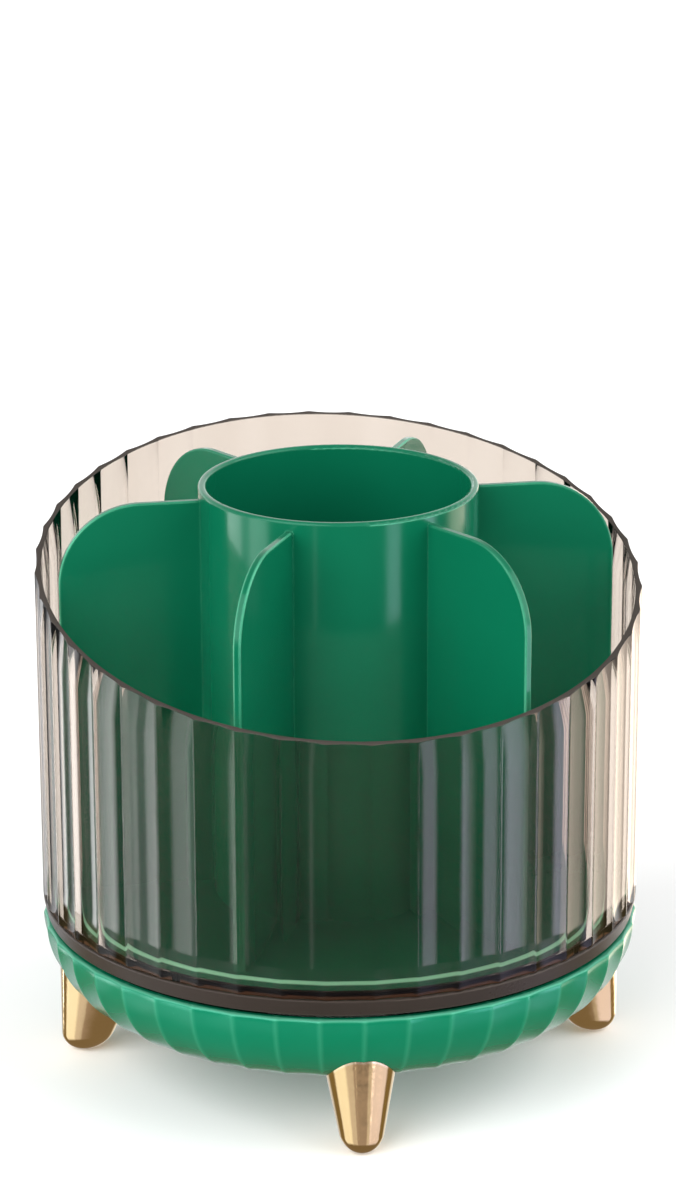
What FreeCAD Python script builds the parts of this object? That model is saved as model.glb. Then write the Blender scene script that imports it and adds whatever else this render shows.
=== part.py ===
import FreeCAD, Part
import math
import os
import Sketcher
from FreeCAD import Matrix, Placement, Rotation, Vector

# Rotating holder for makeup brushes. Lengths are in millimetres.
# The table is at z = 0 and the turning axis is the z axis.
# The low side of the slanted rim faces -Y.

SIZES = [
    # overall
    ("shell_radius", 75.0, "crest of the flutes of the shell, the base and the band between"),
    ("rim_low", 107.4, "height of the rim in front"),
    ("rim_high", 146.1, "height of the rim at the back and of the dividers"),
    ("flute_count", 44, "flutes around the base and around the shell"),
    ("base_turn", -5.5, "angle of the base and its feet against the shell at rest"),
    # base bowl
    ("foot_height", 18.7, "table to the underside of the base"),
    ("base_height", 19.3, "underside to the top edge of the base"),
    ("base_draw_in", 11.0, "top edge of the base to the edge of its flat underside"),
    ("base_wall", 2.8, "bowl wall"),
    ("base_floor", 2.6, "bowl floor"),
    ("base_flute_depth", 0.45, "crest to bottom of a flute"),
    ("base_land", 0.25, "stock outside the crests before fluting"),
    ("seat_inner_step", 0.5, "inside of the lower race to the inner seat rib"),
    ("seat_outer_step", 1.8, "outside of the lower race to the outer seat rib"),
    ("seat_rib", 2.1, "thickness of both seat ribs"),
    ("web_count", 8, "radial webs under the seat"),
    ("web_thickness", 1.8, "radial web"),
    ("web_drop", 0.6, "seat to the top of the webs"),
    ("hub_margin", 1.4, "washers to the edge of the boss and of the hub above it"),
    ("recess_margin", 1.6, "washer to the wall of the recess under the boss"),
    ("boss_skirt", 3.0, "wall around that recess"),
    ("recess_depth", 3.6, "depth of that recess"),
    # feet
    ("foot_screw_inset", 5.0, "edge of the underside to the circle of the foot screws"),
    ("foot_reach", 7.2, "edge of the underside to the upright outer edge of a foot"),
    ("foot_tip_radius", 5.7, "rounded end of a foot"),
    ("foot_flat_radius", 1.5, "flat that touches the table"),
    ("foot_slope", 0.196, "growth of the foot radius with height"),
    ("foot_oval", 1.19, "depth of a foot against its width"),
    ("foot_climb", 9.3, "rise of a foot up the side of the bowl before it is fitted"),
    ("foot_gap", 0.08, "fit between foot and bowl"),
    ("foot_screw_radius", 1.75, "shank of a foot screw"),
    ("foot_screw_head", 3.0, "head of a foot screw"),
    ("foot_screw_head_height", 1.9, "height of that head"),
    ("foot_screw_length", 12.0, "shank of a foot screw, under the head"),
    # bearing
    ("ball_radius", 2.5, "steel ball"),
    ("ball_count", 16, "balls in the cage"),
    ("ball_inset", 23.0, "crest of the shell to the circle of the ball centres"),
    ("bearing_fit", 0.04, "play between ball and groove"),
    ("race_thickness", 3.8, "each race"),
    ("race_gap", 2.0, "between the two races"),
    ("race_flange", 12.0, "ball circle to the inside of both races"),
    ("race_lip", 5.0, "ball circle to the outside of both races"),
    ("race_screw_inset", 7.8, "ball circle to the circle of the race screws"),
    ("race_screw_radius", 1.45, "shank of a race screw"),
    ("race_screw_head", 2.7, "head of a race screw"),
    ("race_screw_head_height", 1.5, "height of that head"),
    ("lower_screw_bite", 6.4, "a lower race screw in its boss"),
    ("lower_screw_spare", 1.8, "free depth under that screw"),
    ("upper_screw_bite", 2.0, "an upper race screw in the plate"),
    ("upper_screw_spare", 0.2, "free depth over that screw"),
    ("sink_spare", 0.1, "screw head below the face of its race"),
    ("screw_fit", 0.06, "play around a screw"),
    ("race_boss_radius", 3.4, "screw boss under the lower race"),
    ("cage_thickness", 1.4, "ball cage"),
    ("cage_half_width", 4.4, "ball circle to either edge of the cage"),
    ("cage_fit", 0.06, "play around a ball in the cage"),
    # turntable plate
    ("turn_gap", 1.0, "top edge of the base to the rim of the plate"),
    ("plate_rim_height", 4.2, "dark band between base and shell"),
    ("plate_thickness", 2.6, "plate inside its rim"),
    ("plate_draft", 0.9, "lower edge of the band inside its upper edge"),
    ("plate_skirt", 3.0, "thickness of the rim at the lower edge"),
    ("plate_edge_round", 0.35, "rounding of both edges of the band"),
    ("hub_drop", 3.1, "hub below the rim of the plate"),
    ("stiffener_count", 12, "stiffening ribs under the plate"),
    ("stiffener_height", 1.8, "their height"),
    ("stiffener_thickness", 1.4, "their thickness"),
    # pivot
    ("bolt_shoulder_radius", 3.0, "shoulder of the pivot bolt"),
    ("thread_step", 0.5, "shoulder to the thread of the pivot bolt"),
    ("head_step", 2.5, "shoulder to the edge of the bolt head"),
    ("bolt_head_height", 2.3, "its height"),
    ("bolt_fit", 0.06, "play around the shoulder"),
    ("washer_radius", 7.6, "both washers"),
    ("washer_thickness", 0.9, "both washers"),
    ("washer_play", 0.05, "end play at each washer"),
    ("nut_wall", 1.5, "thread to the flats of the pivot nut"),
    ("nut_height", 4.0, "pivot nut"),
    ("nut_fit", 0.1, "play of the nut in its pocket"),
    # shell
    ("shell_wall", 1.7, "wall at a crest"),
    ("shell_floor", 1.5, "floor of the shell"),
    ("shell_flute_land", 0.29, "width of a crest"),
    ("shell_flute_depth", 0.6, "crest to bottom of a flute"),
    ("shell_inside_round", 0.9, "rounding between the wall and the floor inside"),
    ("lug_inset", 10.0, "crest of the shell to the circle of the screw bosses under it"),
    ("lug_radius", 3.5, "screw boss under the shell"),
    ("lug_fit", 0.1, "play of a boss in its hole"),
    ("lug_short", 0.1, "boss end to the underside of the plate"),
    ("shell_screw_lap", 1.0, "head of a shell screw past its hole in the plate"),
    ("shell_screw_head_height", 1.5, "its height"),
    ("shell_screw_radius", 1.45, "shank of a shell screw"),
    ("shell_screw_length", 3.3, "shank of a shell screw"),
    # divider tray
    ("tray_clearance", 1.5, "edge of the tray floor to the inside of the shell"),
    ("tray_floor", 2.1, "tray floor"),
    ("tray_edge_round", 0.7, "rounding of the tray floor edge"),
    ("cup_radius", 34.5, "outside of the brush cup"),
    ("cup_wall", 2.0, "wall of the brush cup"),
    ("cup_stand", 2.5, "cup rim above the dividers"),
    ("cup_rim_round", 0.8, "rounding of the cup rim"),
    ("divider_count", 6, "dividers around the cup"),
    ("divider_thickness", 2.0, "divider"),
    ("divider_clearance", 3.8, "outer edge of the dividers to the inside of the shell"),
    ("divider_corner", 20.0, "radius of the outer top corner"),
    ("divider_edge_round", 0.45, "rounding along the divider edges"),
]


class Size:
    """A number together with the spreadsheet formula that gives it."""

    def __init__(self, value, formula):
        self.value = float(value)
        self.formula = formula

    def __add__(self, other):
        o = as_size(other)
        return Size(self.value + o.value, "(%s + %s)" % (self.formula, o.formula))

    def __radd__(self, other):
        return as_size(other) + self

    def __sub__(self, other):
        o = as_size(other)
        return Size(self.value - o.value, "(%s - %s)" % (self.formula, o.formula))

    def __rsub__(self, other):
        return as_size(other) - self

    def __mul__(self, other):
        o = as_size(other)
        return Size(self.value * o.value, "(%s * %s)" % (self.formula, o.formula))

    def __rmul__(self, other):
        return as_size(other) * self

    def __truediv__(self, other):
        o = as_size(other)
        return Size(self.value / o.value, "(%s / %s)" % (self.formula, o.formula))

    def __rtruediv__(self, other):
        return as_size(other) / self

    def __neg__(self):
        return Size(-self.value, "(0 - %s)" % self.formula)


def as_size(item):
    if isinstance(item, Size):
        return item
    return Size(item, "%.6f" % item)


def root(item):
    return Size(math.sqrt(item.value), "sqrt(%s)" % item.formula)


def cosine(degrees):
    value = math.cos(math.radians(degrees.value))
    return Size(value, "cos(%s)" % degrees.formula)


def flute_hollow(crest, depth, half_angle):
    """Radius of a hollow that is this deep and ends on the crest circle at the angle."""
    bottom = crest - depth
    turn = cosine(half_angle)
    across = crest * crest + bottom * bottom - 2 * crest * bottom * turn
    return across / (2 * (crest * turn - bottom))


class Sizes:
    """Every named size of the sheet, and the heights that follow from them."""

    def __init__(self, rows):
        for name, value, note in rows:
            setattr(self, name, Size(value, "Sizes." + name))
        self.pitch_half = 180.0 / self.flute_count
        # heights, from the table up
        self.base_low = self.foot_height
        self.base_up = self.base_low + self.base_height
        self.base_inside = self.base_low + self.base_floor
        self.plate_rim_low = self.base_up + self.turn_gap
        self.plate_up = self.plate_rim_low + self.plate_rim_height
        self.plate_under = self.plate_up - self.plate_thickness
        self.upper_race_low = self.plate_under - self.race_thickness
        self.lower_race_up = self.upper_race_low - self.race_gap
        self.ball_height = self.lower_race_up + self.race_gap / 2
        self.seat_up = self.lower_race_up - self.race_thickness
        self.seat_height = self.seat_up - self.base_inside
        self.recess_up = self.base_low + self.recess_depth
        self.washer_low = self.recess_up - self.washer_play - self.washer_thickness
        self.head_up = self.washer_low - self.washer_play
        self.hub_low = self.plate_rim_low - self.hub_drop
        self.slip_up = self.hub_low - self.washer_play
        self.boss_up = self.slip_up - self.washer_thickness
        self.nut_low = self.plate_up - self.nut_height - 0.2
        self.floor_up = self.plate_up + self.shell_floor
        self.tray_low = self.floor_up
        self.tray_up = self.tray_low + self.tray_floor
        self.divider_top = self.rim_high
        self.cup_top = self.divider_top + self.cup_stand
        self.foot_top = self.foot_height + self.foot_climb
        # radii of the base and its feet
        self.base_top_radius = self.shell_radius
        self.base_bottom_radius = self.base_top_radius - self.base_draw_in
        step = self.base_draw_in
        self.base_arc = (step * step + self.base_height * self.base_height) / (2 * step)
        self.base_arc_centre = self.base_top_radius - self.base_arc
        self.base_flute_radius = flute_hollow(
            self.base_top_radius, self.base_flute_depth, self.pitch_half
        )
        self.foot_circle = self.base_bottom_radius - self.foot_screw_inset
        self.foot_edge_radius = self.base_bottom_radius + self.foot_reach
        # radii of the bearing
        self.ball_circle = self.shell_radius - self.ball_inset
        self.race_inner_radius = self.ball_circle - self.race_flange
        self.race_outer_radius = self.ball_circle + self.race_lip
        self.race_screw_circle = self.ball_circle - self.race_screw_inset
        self.cage_inner_radius = self.ball_circle - self.cage_half_width
        self.cage_outer_radius = self.ball_circle + self.cage_half_width
        self.seat_inner_radius = self.race_inner_radius + self.seat_inner_step
        self.seat_outer_radius = self.race_outer_radius - self.seat_outer_step
        sunk = self.race_thickness - self.race_screw_head_height - self.sink_spare
        self.lower_screw_length = sunk + self.lower_screw_bite
        self.upper_screw_length = sunk + self.upper_screw_bite
        # radii of the plate and the pivot
        self.plate_top_radius = self.shell_radius
        self.plate_low_radius = self.plate_top_radius - self.plate_draft
        self.hub_radius = self.washer_radius + self.hub_margin
        self.boss_radius = self.hub_radius
        self.recess_radius = self.washer_radius + self.recess_margin
        self.bolt_thread_radius = self.bolt_shoulder_radius - self.thread_step
        self.bolt_head_radius = self.bolt_shoulder_radius + self.head_step
        self.nut_flats = 2 * (self.bolt_thread_radius + self.nut_wall)
        # radii of the shell and the tray
        self.shell_inner_radius = self.shell_radius - self.shell_wall
        land = self.shell_flute_land / self.shell_radius * 28.6479
        self.shell_flute_radius = flute_hollow(
            self.shell_radius, self.shell_flute_depth, self.pitch_half - land
        )
        self.lug_circle = self.shell_radius - self.lug_inset
        self.shell_screw_head = self.lug_radius + self.lug_fit + self.shell_screw_lap
        self.tray_radius = self.shell_inner_radius - self.tray_clearance
        self.divider_reach = self.shell_inner_radius - self.divider_clearance


def make_sheet(doc, rows):
    sheet = doc.addObject("Spreadsheet::Sheet", "Sizes")
    sheet.Label = "Sizes"
    line = 1
    for name, value, note in rows:
        sheet.set("A%d" % line, name)
        sheet.set("B%d" % line, "%g" % value)
        sheet.set("C%d" % line, note)
        sheet.setAlias("B%d" % line, name)
        line += 1
    doc.recompute()
    return sheet


def new_body(doc, label):
    body = doc.addObject("PartDesign::Body", label)
    body.Label = label
    body.AllowCompound = True
    return body


def origin(body, role):
    for item in body.Origin.OriginFeatures:
        if item.Role == role:
            return item
    raise ValueError(role)


def new_sketch(body, name, role, lift=None, turn=None):
    """A sketch on an origin plane, lifted off it and turned in it."""
    sketch = body.newObject("Sketcher::SketchObject", name)
    sketch.AttachmentSupport = [(origin(body, role), "")]
    sketch.MapMode = "FlatFace"
    height = as_size(0.0) if lift is None else lift
    angle = as_size(0.0) if turn is None else as_size(turn)
    sketch.AttachmentOffset = Placement(
        Vector(0, 0, height.value), Rotation(Vector(0, 0, 1), angle.value)
    )
    if lift is not None:
        sketch.setExpression("AttachmentOffset.Base.z", height.formula)
    return sketch


def pin(sketch, geometry, vertex, name, x, y):
    """Hold one point of the sketch at x, y."""
    a = sketch.addConstraint(
        Sketcher.Constraint("DistanceX", -1, 1, geometry, vertex, x.value)
    )
    sketch.renameConstraint(a, name + "_x")
    sketch.setExpression("Constraints." + name + "_x", x.formula)
    b = sketch.addConstraint(
        Sketcher.Constraint("DistanceY", -1, 1, geometry, vertex, y.value)
    )
    sketch.renameConstraint(b, name + "_y")
    sketch.setExpression("Constraints." + name + "_y", y.formula)


def middle_point(p, q, radius, side):
    """The point half way along the shorter arc from p to q.

    side +1 puts the centre to the left of the way from p to q."""
    mid = (p + q) * 0.5
    way = q - p
    half = way.Length / 2.0
    left = Vector(-way.y, way.x, 0)
    left.normalize()
    reach = math.sqrt(max(radius * radius - half * half, 0.0))
    centre = mid + left * (reach * side)
    return centre - left * (radius * side)


def outline(sketch, name, corners, arcs=None):
    """A closed outline through the corners; arcs gives (radius, side) for an edge."""
    arcs = arcs or {}
    points = [(as_size(x), as_size(y)) for x, y in corners]
    spots = [Vector(x.value, y.value, 0) for x, y in points]
    total = len(points)
    ends = []
    for i in range(total):
        p = spots[i]
        q = spots[(i + 1) % total]
        if i in arcs:
            radius, side = arcs[i]
            curve = Part.Arc(p, middle_point(p, q, radius.value, side), q)
            index = sketch.addGeometry(curve, False)
            first = sketch.getPoint(index, 1)
            forward = (first - p).Length < (first - q).Length
            ends.append((index, 1, 2) if forward else (index, 2, 1))
        else:
            index = sketch.addGeometry(Part.LineSegment(p, q), False)
            ends.append((index, 1, 2))
    for i in range(total):
        index, start, stop = ends[i]
        following = ends[(i + 1) % total]
        sketch.addConstraint(
            Sketcher.Constraint("Coincident", index, stop, following[0], following[1])
        )
    for i in range(total):
        index, start, stop = ends[i]
        pin(sketch, index, start, "%s%d" % (name, i), points[i][0], points[i][1])
    for i in arcs:
        radius, side = arcs[i]
        c = sketch.addConstraint(Sketcher.Constraint("Radius", ends[i][0], radius.value))
        sketch.renameConstraint(c, "%s_round%d" % (name, i))
        sketch.setExpression("Constraints.%s_round%d" % (name, i), radius.formula)
    return ends


def circle(sketch, name, x, y, radius):
    x = as_size(x)
    y = as_size(y)
    index = sketch.addGeometry(
        Part.Circle(Vector(x.value, y.value, 0), Vector(0, 0, 1), radius.value), False
    )
    pin(sketch, index, 3, name, x, y)
    c = sketch.addConstraint(Sketcher.Constraint("Radius", index, radius.value))
    sketch.renameConstraint(c, name + "_radius")
    sketch.setExpression("Constraints." + name + "_radius", radius.formula)
    return index


def axis_line(sketch, x, low, high):
    """An upright construction line at x, used as a turning axis."""
    index = sketch.addGeometry(
        Part.LineSegment(Vector(x.value, low, 0), Vector(x.value, high, 0)), True
    )
    sketch.addConstraint(Sketcher.Constraint("Vertical", index))
    c = sketch.addConstraint(
        Sketcher.Constraint("DistanceX", -1, 1, index, 1, x.value)
    )
    sketch.renameConstraint(c, "axis_x")
    sketch.setExpression("Constraints.axis_x", x.formula)
    sketch.addConstraint(Sketcher.Constraint("DistanceY", -1, 1, index, 1, low))
    sketch.addConstraint(Sketcher.Constraint("DistanceY", -1, 1, index, 2, high))


def revolve(body, name, sketch, axis="V_Axis", angle=360.0, cut=False, flip=False):
    kind = "PartDesign::Groove" if cut else "PartDesign::Revolution"
    feature = body.newObject(kind, name)
    feature.Profile = sketch
    feature.ReferenceAxis = (sketch, [axis])
    feature.Angle = angle
    feature.Reversed = flip
    body.Tip = feature
    return feature


def pad(body, name, sketch, length, both=False, flip=False):
    feature = body.newObject("PartDesign::Pad", name)
    feature.Profile = sketch
    feature.Length = length.value
    feature.setExpression("Length", length.formula)
    if both:
        feature.SideType = "Symmetric"
    feature.Reversed = flip
    body.Tip = feature
    return feature


def pocket(body, name, sketch, length=None, both=False, flip=False):
    """A cut; without a length it goes through everything."""
    feature = body.newObject("PartDesign::Pocket", name)
    feature.Profile = sketch
    if length is None:
        feature.Type = "ThroughAll"
    else:
        feature.Length = length.value
        feature.setExpression("Length", length.formula)
    if both:
        feature.SideType = "Symmetric"
    feature.Reversed = flip
    body.Tip = feature
    return feature


def around(body, name, features, count):
    """Repeat the features around the z axis."""
    feature = body.newObject("PartDesign::PolarPattern", name)
    feature.Originals = features
    feature.Axis = (origin(body, "Z_Axis"), [""])
    feature.Angle = 360.0
    feature.Occurrences = int(round(count.value))
    feature.setExpression("Occurrences", count.formula)
    body.Tip = feature
    return feature


def round_edges(body, name, picked, radius):
    before = body.Tip
    feature = body.newObject("PartDesign::Fillet", name)
    feature.Base = (before, picked)
    feature.Radius = radius.value
    feature.setExpression("Radius", radius.formula)
    body.Tip = feature
    return feature


def base_bowl(doc, s):
    """The fluted bowl, hollow, with the seat of the bearing and the centre boss.

    Returns the body and the fluted outer form before it is hollowed."""
    body = new_body(doc, "base_bowl")
    sketch = new_sketch(body, "bowl_form", "XZ_Plane")
    outline(
        sketch,
        "p",
        [
            (0.0, s.base_low),
            (s.base_bottom_radius + s.base_land, s.base_low),
            (s.base_top_radius + s.base_land, s.base_up),
            (0.0, s.base_up),
        ],
        {1: (s.base_arc, 1)},
    )
    revolve(body, "bowl_stock", sketch)
    # One flute: a circle above the top edge, swung down along the wall.
    sketch = new_sketch(body, "flute_form", "XY_Plane", s.base_up, s.pitch_half)
    reach = s.base_top_radius - s.base_flute_depth + s.base_flute_radius
    circle(sketch, "flute", reach, 0.0, s.base_flute_radius)
    axis_line(sketch, s.base_arc_centre, -30.0, 30.0)
    flute = revolve(body, "flute", sketch, "Axis0", 78.0, cut=True)
    flutes = around(body, "flutes", [flute], s.flute_count)
    # The inside, with two ring ribs left standing as the seat of the lower race.
    arc = s.base_arc - s.base_wall
    drop = s.base_up - s.base_inside
    foot = s.base_arc_centre + root(arc * arc - drop * drop)
    skirt = s.recess_radius + s.boss_skirt
    skirt_up = s.base_inside + s.recess_depth
    sketch = new_sketch(body, "inside_form", "XZ_Plane")
    outline(
        sketch,
        "p",
        [
            (0.0, s.boss_up),
            (s.boss_radius, s.boss_up),
            (s.boss_radius, skirt_up),
            (skirt, skirt_up),
            (skirt, s.base_inside),
            (s.seat_inner_radius, s.base_inside),
            (s.seat_inner_radius, s.seat_up),
            (s.seat_inner_radius + s.seat_rib, s.seat_up),
            (s.seat_inner_radius + s.seat_rib, s.base_inside),
            (s.seat_outer_radius - s.seat_rib, s.base_inside),
            (s.seat_outer_radius - s.seat_rib, s.seat_up),
            (s.seat_outer_radius, s.seat_up),
            (s.seat_outer_radius, s.base_inside),
            (foot, s.base_inside),
            (s.base_arc_centre + arc, s.base_up),
            (s.base_arc_centre + arc, s.base_up + 1.0),
            (0.0, s.base_up + 1.0),
        ],
        {13: (arc, 1)},
    )
    revolve(body, "inside", sketch, cut=True)
    add_webs(body, s)
    add_race_bosses(body, s)
    # Bore and recess of the pivot bolt, and the holes of the foot screws.
    sketch = new_sketch(body, "recess_form", "XY_Plane", s.base_low)
    circle(sketch, "recess", 0.0, 0.0, s.recess_radius)
    pocket(body, "recess", sketch, s.recess_depth, flip=True)
    sketch = new_sketch(body, "bore_form", "XY_Plane", s.base_low)
    circle(sketch, "bore", 0.0, 0.0, s.bolt_shoulder_radius + s.bolt_fit)
    pocket(body, "bore", sketch, s.base_height + 5.0, flip=True)
    sketch = new_sketch(body, "foot_hole_form", "XY_Plane", s.base_low)
    circle(sketch, "hole", s.foot_circle, 0.0, s.foot_screw_radius + s.screw_fit)
    hole = pocket(body, "foot_hole", sketch, s.base_floor + 0.5, flip=True)
    around(body, "foot_holes", [hole], as_size(4.0))
    return body, flutes


def add_webs(body, s):
    """Radial webs from the centre boss to the outer seat rib."""
    sketch = new_sketch(body, "web_form", "XY_Plane", s.base_inside - 0.3, 22.5)
    half = s.web_thickness / 2
    near = s.boss_radius - 1.0
    far = s.seat_outer_radius - 1.0
    outline(sketch, "p", [(near, -half), (far, -half), (far, half), (near, half)])
    web = pad(body, "web", sketch, s.seat_height + 0.3 - s.web_drop)
    around(body, "webs", [web], s.web_count)


def add_race_bosses(body, s):
    """Four bosses that take the screws of the lower race."""
    sketch = new_sketch(body, "race_boss_form", "XY_Plane", s.base_inside - 0.3, 45.0)
    circle(sketch, "boss", s.race_screw_circle, 0.0, s.race_boss_radius)
    boss = pad(body, "race_boss", sketch, s.seat_height + 0.3)
    around(body, "race_bosses", [boss], as_size(4.0))
    sketch = new_sketch(body, "race_pilot_form", "XY_Plane", s.seat_up, 45.0)
    circle(sketch, "pilot", s.race_screw_circle, 0.0, s.race_screw_radius + s.screw_fit)
    pilot = pocket(body, "race_pilot", sketch, s.lower_screw_bite + s.lower_screw_spare)
    around(body, "race_pilots", [pilot], as_size(4.0))


def foot(doc, s, label, quarter, bowl_form):
    """One foot: a round tapered form made oval and upright at its outer edge."""
    tip = s.foot_tip_radius.value
    flat = s.foot_flat_radius.value
    slope = s.foot_slope.value
    lean = math.atan(slope)
    centre = math.sqrt(tip * tip - flat * flat)
    touch_r = tip * math.cos(lean)
    touch_z = centre - tip * math.sin(lean)
    top = s.foot_top.value
    top_r = touch_r + slope * (top - touch_z)
    lowest = centre - tip
    edges = [
        Part.Arc(
            Vector(0, 0, lowest),
            Vector(tip * math.cos(0.75), 0, centre - tip * math.sin(0.75)),
            Vector(touch_r, 0, touch_z),
        ).toShape(),
        Part.makeLine(Vector(touch_r, 0, touch_z), Vector(top_r, 0, top)),
        Part.makeLine(Vector(top_r, 0, top), Vector(0, 0, top)),
        Part.makeLine(Vector(0, 0, top), Vector(0, 0, lowest)),
    ]
    face = Part.Face(Part.Wire(edges))
    form = face.revolve(Vector(0, 0, 0), Vector(0, 0, 1), 360)
    oval = s.foot_oval.value
    shift = slope * oval
    start = s.foot_edge_radius.value - oval * touch_r + shift * touch_z
    # x grows outwards; the centre moves inwards with height.
    shear = Matrix()
    shear.A11 = oval
    shear.A13 = -shift
    shear.A14 = start
    form = form.transformGeometry(shear)
    # The flat on the table.
    under = Part.makeBox(80.0, 40.0, 10.0, Vector(s.foot_circle.value - 30.0, -20.0, -10.0))
    form = form.cut(under)
    gap = s.foot_gap.value
    saddle = bowl_form.copy()
    saddle.translate(Vector(0, 0, -gap))
    form = form.cut(saddle)
    hole_low = s.base_low.value - s.foot_screw_length.value + s.base_floor.value - 0.6
    hole = Part.makeCylinder(
        s.foot_screw_radius.value + s.screw_fit.value,
        40.0,
        Vector(s.foot_circle.value, 0, hole_low),
        Vector(0, 0, 1),
    )
    form = form.cut(hole)
    solid = max(form.Solids, key=lambda item: item.Volume)
    item = doc.addObject("Part::Feature", label)
    item.Label = label
    item.Shape = solid
    angle = 90.0 * quarter - 90.0 + s.base_turn.value
    item.Placement = Placement(Vector(0, 0, 0), Rotation(Vector(0, 0, 1), angle))
    formula = "%.1f + Sizes.base_turn" % (90.0 * quarter - 90.0)
    item.setExpression("Placement.Rotation.Angle", formula)
    return item


def screw_ring(doc, s, label, where, face, head, head_up, shank, length, down, turn=None):
    """Four equal screws around the axis, each with a cross recess in its head.

    face is the height under the head; down tells which way the shank points."""
    body = new_body(doc, label)
    way = -1.0 if down else 1.0
    head_end = face - way * head_up
    shank_end = face + way * length
    point = face + way * (length - 0.8)
    sketch = new_sketch(body, "screw_form", "XZ_Plane")
    outline(
        sketch,
        "p",
        [
            (where, head_end),
            (where + head - 0.5, head_end),
            (where + head, head_end + way * 0.5),
            (where + head, face),
            (where + shank, face),
            (where + shank, point),
            (where + shank * 0.4, shank_end),
            (where, shank_end),
        ],
    )
    axis_line(sketch, where, shank_end.value - 5.0, shank_end.value + 5.0)
    screw = revolve(body, "screw", sketch, "Axis0")
    sketch = new_sketch(body, "cross_form", "XY_Plane", head_end)
    arm = head * 0.62
    slot = head * 0.16
    outline(
        sketch,
        "a",
        [
            (where - arm, -slot),
            (where - slot, -slot),
            (where - slot, -arm),
            (where + slot, -arm),
            (where + slot, -slot),
            (where + arm, -slot),
            (where + arm, slot),
            (where + slot, slot),
            (where + slot, arm),
            (where - slot, arm),
            (where - slot, slot),
            (where - arm, slot),
        ],
    )
    cross = pocket(body, "cross", sketch, head_up * 0.6, flip=not down)
    around(body, "screws", [screw, cross], as_size(4.0))
    if turn is not None:
        body.Placement = Placement(Vector(0, 0, 0), Rotation(Vector(0, 0, 1), turn.value))
        body.setExpression("Placement.Rotation.Angle", turn.formula)
    return body


def race(doc, s, label, low, groove_up, turn=None):
    """A bearing ring; its groove is in the top face or in the bottom face."""
    body = new_body(doc, label)
    up = low + s.race_thickness
    groove = s.ball_radius + s.bearing_fit
    half_gap = s.race_gap / 2
    half = root(groove * groove - half_gap * half_gap)
    sketch = new_sketch(body, "race_form", "XZ_Plane")
    if groove_up:
        corners = [
            (s.race_inner_radius, low),
            (s.race_outer_radius, low),
            (s.race_outer_radius, up),
            (s.ball_circle + half, up),
            (s.ball_circle - half, up),
            (s.race_inner_radius, up),
        ]
        outline(sketch, "p", corners, {3: (groove, -1)})
    else:
        corners = [
            (s.race_inner_radius, up),
            (s.race_outer_radius, up),
            (s.race_outer_radius, low),
            (s.ball_circle + half, low),
            (s.ball_circle - half, low),
            (s.race_inner_radius, low),
        ]
        outline(sketch, "p", corners, {3: (groove, 1)})
    revolve(body, "ring", sketch)
    face = up if groove_up else low
    sketch = new_sketch(body, "sink_form", "XY_Plane", face, 45.0)
    circle(sketch, "sink", s.race_screw_circle, 0.0, s.race_screw_head + s.screw_fit)
    depth = s.race_screw_head_height + s.sink_spare
    sink = pocket(body, "sink", sketch, depth, flip=not groove_up)
    sketch = new_sketch(body, "hole_form", "XY_Plane", face, 45.0)
    circle(sketch, "hole", s.race_screw_circle, 0.0, s.race_screw_radius + s.screw_fit)
    hole = pocket(body, "hole", sketch, s.race_thickness + 1.0, flip=not groove_up)
    around(body, "holes", [sink, hole], as_size(4.0))
    if turn is not None:
        body.Placement = Placement(Vector(0, 0, 0), Rotation(Vector(0, 0, 1), turn.value))
        body.setExpression("Placement.Rotation.Angle", turn.formula)
    return body


def ball_cage(doc, s):
    body = new_body(doc, "ball_cage")
    low = s.ball_height - s.cage_thickness / 2
    up = s.ball_height + s.cage_thickness / 2
    sketch = new_sketch(body, "cage_form", "XZ_Plane")
    outline(
        sketch,
        "p",
        [
            (s.cage_inner_radius, low),
            (s.cage_outer_radius, low),
            (s.cage_outer_radius, up),
            (s.cage_inner_radius, up),
        ],
    )
    revolve(body, "ring", sketch)
    sketch = new_sketch(body, "seat_form", "XY_Plane", low)
    circle(sketch, "seat", s.ball_circle, 0.0, s.ball_radius + s.cage_fit)
    seat = pocket(body, "seat", sketch, s.cage_thickness + 1.0, flip=True)
    around(body, "seats", [seat], s.ball_count)
    return body


def bearing_balls(doc, s):
    body = new_body(doc, "bearing_balls")
    sketch = new_sketch(body, "ball_form", "XZ_Plane")
    outline(
        sketch,
        "p",
        [
            (s.ball_circle, s.ball_height - s.ball_radius),
            (s.ball_circle + s.ball_radius, s.ball_height),
            (s.ball_circle, s.ball_height + s.ball_radius),
        ],
        {0: (s.ball_radius, 1), 1: (s.ball_radius, 1)},
    )
    axis_line(sketch, s.ball_circle, s.ball_height.value - 8.0, s.ball_height.value + 8.0)
    ball = revolve(body, "ball", sketch, "Axis0")
    around(body, "balls", [ball], s.ball_count)
    return body


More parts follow.
